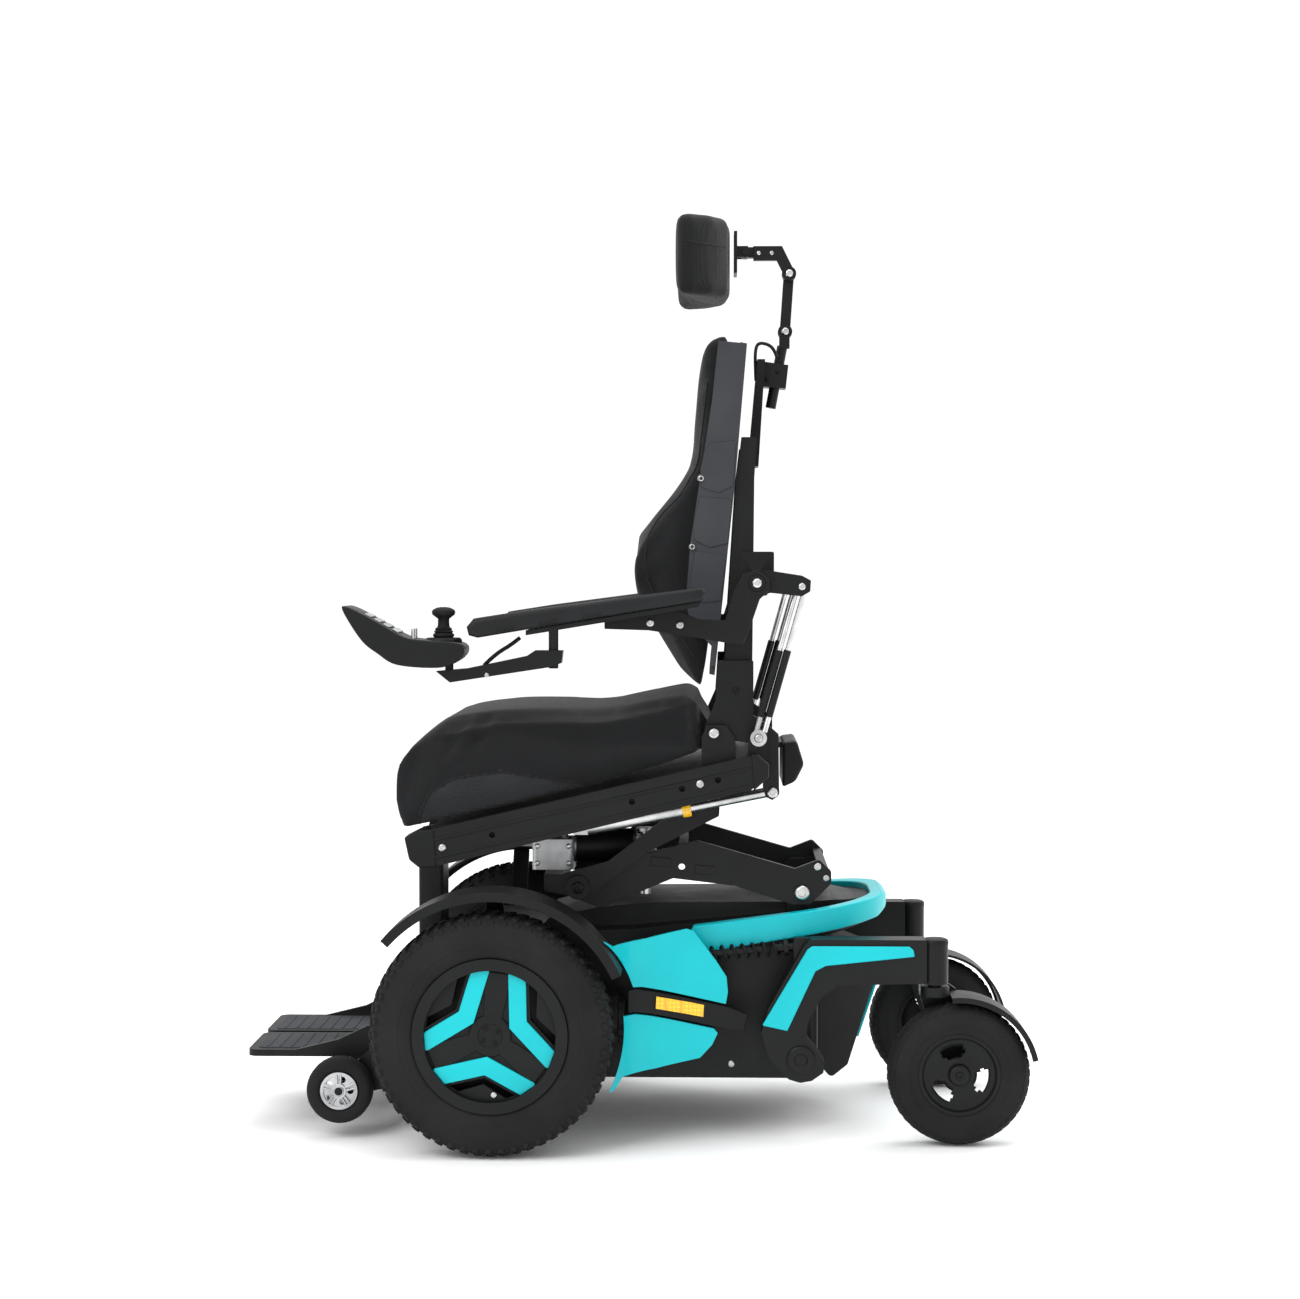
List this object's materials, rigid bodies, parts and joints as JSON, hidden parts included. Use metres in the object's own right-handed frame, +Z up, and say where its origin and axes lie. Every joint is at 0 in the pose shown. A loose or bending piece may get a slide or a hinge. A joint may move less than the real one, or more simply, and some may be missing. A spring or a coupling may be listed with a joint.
{
  "type": "power wheelchair",
  "caption": "Front-wheel-drive powered wheelchair with lifting, tilting and reclining seat, padded back, headrest, flip-up armrests, joystick and swinging legrest.",
  "frame": {"origin": "on the floor under the middle of the whole chair", "axes": "+X to the rear of the chair, +Y to its right, +Z up"},
  "size_m": [1.1764, 0.65, 1.386],
  "materials": {
    "frame_black": "satin powder coat",
    "plastic_black": "moulded, fine grain",
    "plastic_grey": "moulded, fine grain",
    "teal_gloss": "gloss",
    "tyre": "matt",
    "wheel_black": "moulded",
    "steel_bright": "satin",
    "aluminium_cast": "cast, satin",
    "fabric_charcoal": "woven",
    "rubber_black": "matt",
    "battery_case": "moulded"
  },
  "bodies": {
    "chassis": {"chassis_frame": "frame_black", "batteries": "battery_case", "drive_motors": "frame_black", "top_cover": "plastic_black", "top_trim": "teal_gloss", "side_panels": "teal_gloss", "side_bands": "plastic_black", "wheel_fenders": "plastic_black", "tail_cover": "plastic_black"},
    "lift": {"lift_arm": "frame_black"},
    "carriage": {"seat_carriage": "frame_black", "tilt_actuator": "aluminium_cast"},
    "tilt_screw": {"tilt_screw": "steel_bright"},
    "seat": {"seat_frame": "frame_black", "seat_cushion": "fabric_charcoal", "power_module": "plastic_black"},
    "back": {"back_frame": "frame_black", "back_shell": "plastic_grey", "back_cushion": "fabric_charcoal"},
    "recline_rod": {"recline_rod": "steel_bright"},
    "recline_tube": {"recline_tube": "steel_bright"},
    "legrest": {"legrest_column": "frame_black"},
    "legrest_slider": {"legrest_slider": "frame_black"},
    "headrest_bar": {"headrest_bar": "frame_black"},
    "headrest_link": {"headrest_link": "frame_black"},
    "headrest_arm": {"headrest_arm": "frame_black"},
    "headrest_pad": {"headrest_pad": "fabric_charcoal"},
    "swing_arm": {"swing_arm": "frame_black", "joystick_cable": "rubber_black"},
    "joystick": {"joystick_housing": "plastic_black"},
    "gimbal": {"joystick_gimbal": "rubber_black"},
    "stick": {"joystick_stick": "rubber_black"},
    "toggle_inner": {"toggle_inner": "steel_bright"},
    "toggle_outer": {"toggle_outer": "steel_bright"},
    "drive_wheel_left": {"drive_tyre_left": "tyre", "drive_rim_left": "wheel_black"},
    "antitip_left": {"antitip_wheel_left": "tyre"},
    "rear_arm_left": {"caster_arm_left": "frame_black", "coil_spring_left": "steel_bright"},
    "caster_fork_left": {"caster_fork_left": "frame_black"},
    "caster_wheel_left": {"caster_tyre_left": "tyre", "caster_hub_left": "wheel_black"},
    "arm_lever_left": {"arm_lever_left": "frame_black"},
    "armrest_left": {"armrest_frame_left": "frame_black", "armrest_pad_left": "rubber_black"},
    "arm_strut_left": {"arm_strut_left": "steel_bright"},
    "footplate_left": {"footplate_left": "frame_black"},
    "drive_wheel_right": {"drive_tyre_right": "tyre", "drive_rim_right": "wheel_black"},
    "antitip_right": {"antitip_wheel_right": "tyre"},
    "rear_arm_right": {"caster_arm_right": "frame_black", "coil_spring_right": "steel_bright"},
    "caster_fork_right": {"caster_fork_right": "frame_black"},
    "caster_wheel_right": {"caster_tyre_right": "tyre", "caster_hub_right": "wheel_black"},
    "arm_lever_right": {"arm_lever_right": "frame_black"},
    "armrest_right": {"armrest_frame_right": "frame_black", "armrest_pad_right": "rubber_black"},
    "arm_strut_right": {"arm_strut_right": "steel_bright"},
    "footplate_right": {"footplate_right": "frame_black"}
  },
  "joints": [
    {"name": "drive_spin_left", "type": "hinge", "parent": "chassis", "child": "drive_wheel_left", "pos_m": [-0.202, -0.287, 0.178], "axis": [0, 1, 0], "continuous": true},
    {"name": "antitip_spin_left", "type": "hinge", "parent": "chassis", "child": "antitip_left", "pos_m": [-0.438, -0.185, 0.072], "axis": [0, 1, 0], "continuous": true},
    {"name": "suspension_left", "type": "hinge", "parent": "chassis", "child": "rear_arm_left", "pos_m": [0.246, -0.2, 0.127], "axis": [0, 1, 0], "range_deg": [-5, 5], "stiffness_Nm_per_rad": 1500, "deforming": ["coil_spring_left"]},
    {"name": "caster_swivel_left", "type": "hinge", "parent": "rear_arm_left", "child": "caster_fork_left", "pos_m": [0.443, -0.201, 0.25], "axis": [0, 0, 1], "continuous": true},
    {"name": "caster_spin_left", "type": "hinge", "parent": "caster_fork_left", "child": "caster_wheel_left", "pos_m": [0.478, -0.201, 0.106], "axis": [0, 1, 0], "continuous": true},
    {"name": "drive_spin_right", "type": "hinge", "parent": "chassis", "child": "drive_wheel_right", "pos_m": [-0.202, 0.287, 0.178], "axis": [0, 1, 0], "continuous": true},
    {"name": "antitip_spin_right", "type": "hinge", "parent": "chassis", "child": "antitip_right", "pos_m": [-0.438, 0.185, 0.072], "axis": [0, 1, 0], "continuous": true},
    {"name": "suspension_right", "type": "hinge", "parent": "chassis", "child": "rear_arm_right", "pos_m": [0.246, 0.2, 0.127], "axis": [0, 1, 0], "range_deg": [-5, 5], "stiffness_Nm_per_rad": 1500, "deforming": ["coil_spring_right"]},
    {"name": "caster_swivel_right", "type": "hinge", "parent": "rear_arm_right", "child": "caster_fork_right", "pos_m": [0.443, 0.201, 0.25], "axis": [0, 0, 1], "continuous": true},
    {"name": "caster_spin_right", "type": "hinge", "parent": "caster_fork_right", "child": "caster_wheel_right", "pos_m": [0.478, 0.201, 0.106], "axis": [0, 1, 0], "continuous": true},
    {"name": "seat_lift", "type": "hinge", "parent": "chassis", "child": "lift", "pos_m": [0.25, 0, 0.362], "axis": [0, 1, 0], "range_deg": [0, 40]},
    {"name": "carriage_level", "type": "hinge", "parent": "lift", "child": "carriage", "pos_m": [-0.085, 0, 0.371], "axis": [0, 1, 0], "range_deg": [-41, 1]},
    {"name": "seat_tilt", "type": "hinge", "parent": "carriage", "child": "seat", "pos_m": [0.105, 0, 0.492], "axis": [0, 1, 0], "range_deg": [0, 35]},
    {"name": "tilt_screw_travel", "type": "slide", "parent": "carriage", "child": "tilt_screw", "axis": [0, 0, 1], "range_m": [-0.001, 0.06]},
    {"name": "recline", "type": "hinge", "parent": "seat", "child": "back", "pos_m": [0.118, 0, 0.606], "axis": [0, 1, 0], "range_deg": [0, 50]},
    {"name": "recline_rod_pin", "type": "hinge", "parent": "back", "child": "recline_rod", "pos_m": [0.204, -0.178, 0.518], "axis": [0, 1, 0], "range_deg": [-51, 1]},
    {"name": "recline_travel", "type": "slide", "parent": "recline_rod", "child": "recline_tube", "axis": [0.9806, 0, 0.1961], "range_m": [-0.001, 0.101]},
    {"name": "legrest_swing", "type": "hinge", "parent": "seat", "child": "legrest", "pos_m": [-0.318, 0, 0.424], "axis": [0, 1, 0], "range_deg": [0, 60]},
    {"name": "legrest_extend", "type": "slide", "parent": "legrest", "child": "legrest_slider", "axis": [0, 0, -1], "range_m": [-0.001, 0.064]},
    {"name": "footplate_flip_left", "type": "hinge", "parent": "legrest_slider", "child": "footplate_left", "pos_m": [-0.372, -0.075, 0.118], "axis": [0, 1, 0], "range_deg": [0, 85]},
    {"name": "lever_level_left", "type": "hinge", "parent": "back", "child": "arm_lever_left", "pos_m": [0.18, -0.247, 0.826], "axis": [0, 1, 0], "range_deg": [-51, 1]},
    {"name": "strut_swing_left", "type": "hinge", "parent": "arm_lever_left", "child": "arm_strut_left", "pos_m": [0.245, -0.236, 0.821], "axis": [0, 1, 0], "range_deg": [-1, 51]},
    {"name": "armrest_flip_left", "type": "hinge", "parent": "arm_lever_left", "child": "armrest_left", "pos_m": [0.18, -0.258, 0.826], "axis": [0, 1, 0], "range_deg": [0, 95]},
    {"name": "footplate_flip_right", "type": "hinge", "parent": "legrest_slider", "child": "footplate_right", "pos_m": [-0.372, 0.075, 0.118], "axis": [0, 1, 0], "range_deg": [0, 85]},
    {"name": "lever_level_right", "type": "hinge", "parent": "back", "child": "arm_lever_right", "pos_m": [0.18, 0.247, 0.826], "axis": [0, 1, 0], "range_deg": [-51, 1]},
    {"name": "strut_swing_right", "type": "hinge", "parent": "arm_lever_right", "child": "arm_strut_right", "pos_m": [0.245, 0.236, 0.821], "axis": [0, 1, 0], "range_deg": [-1, 51]},
    {"name": "armrest_flip_right", "type": "hinge", "parent": "arm_lever_right", "child": "armrest_right", "pos_m": [0.18, 0.258, 0.826], "axis": [0, 1, 0], "range_deg": [0, 95]},
    {"name": "headrest_height", "type": "slide", "parent": "back", "child": "headrest_bar", "axis": [0.1862, 0, 0.9825], "range_m": [0, 0.06]},
    {"name": "headrest_lower", "type": "hinge", "parent": "headrest_bar", "child": "headrest_link", "pos_m": [0.227, 0, 1.212], "axis": [0, 1, 0], "range_deg": [-3, 25]},
    {"name": "headrest_upper", "type": "hinge", "parent": "headrest_link", "child": "headrest_arm", "pos_m": [0.233, 0, 1.301], "axis": [0, 1, 0], "range_deg": [-3, 30]},
    {"name": "headrest_tilt", "type": "hinge", "parent": "headrest_arm", "child": "headrest_pad", "pos_m": [0.165, 0, 1.334], "axis": [0, 1, 0], "range_deg": [-12, 20]},
    {"name": "joystick_swing", "type": "hinge", "parent": "armrest_left", "child": "swing_arm", "pos_m": [-0.112, -0.285, 0.716], "axis": [0, 0, 1], "range_deg": [0, 75]},
    {"name": "joystick_level", "type": "hinge", "parent": "swing_arm", "child": "joystick", "pos_m": [-0.262, -0.285, 0.696], "axis": [0, 0, 1], "range_deg": [-76, 1]},
    {"name": "stick_fore", "type": "hinge", "parent": "joystick", "child": "gimbal", "pos_m": [-0.27, -0.285, 0.738], "axis": [0, 1, 0], "range_deg": [-15, 15], "stiffness_Nm_per_rad": 0.4},
    {"name": "stick_side", "type": "hinge", "parent": "gimbal", "child": "stick", "pos_m": [-0.27, -0.285, 0.738], "axis": [1, 0, 0], "range_deg": [-15, 15], "stiffness_Nm_per_rad": 0.4},
    {"name": "toggle_inner_tip", "type": "hinge", "parent": "joystick", "child": "toggle_inner", "pos_m": [-0.312, -0.272, 0.744], "axis": [0, 1, 0], "range_deg": [-12, 12], "stiffness_Nm_per_rad": 0.02},
    {"name": "toggle_outer_tip", "type": "hinge", "parent": "joystick", "child": "toggle_outer", "pos_m": [-0.312, -0.3, 0.744], "axis": [0, 1, 0], "range_deg": [-12, 12], "stiffness_Nm_per_rad": 0.02}
  ],
  "couplings": [
    {"joint": "carriage_level", "follows": "seat_lift", "ratio": -1},
    {"joint": "tilt_screw_travel", "follows": "seat_tilt", "m_per_rad": 0.0943},
    {"joint": "recline_rod_pin", "follows": "recline", "ratio": -1},
    {"joint": "recline_travel", "follows": "recline", "m_per_rad": 0.1144},
    {"joint": "legrest_extend", "follows": "legrest_swing", "m_per_rad": 0.06},
    {"joint": "joystick_level", "follows": "joystick_swing", "ratio": -1},
    {"joint": "lever_level_left", "follows": "recline", "ratio": -1},
    {"joint": "strut_swing_left", "follows": "recline", "ratio": 1},
    {"joint": "lever_level_right", "follows": "recline", "ratio": -1},
    {"joint": "strut_swing_right", "follows": "recline", "ratio": 1}
  ]
}
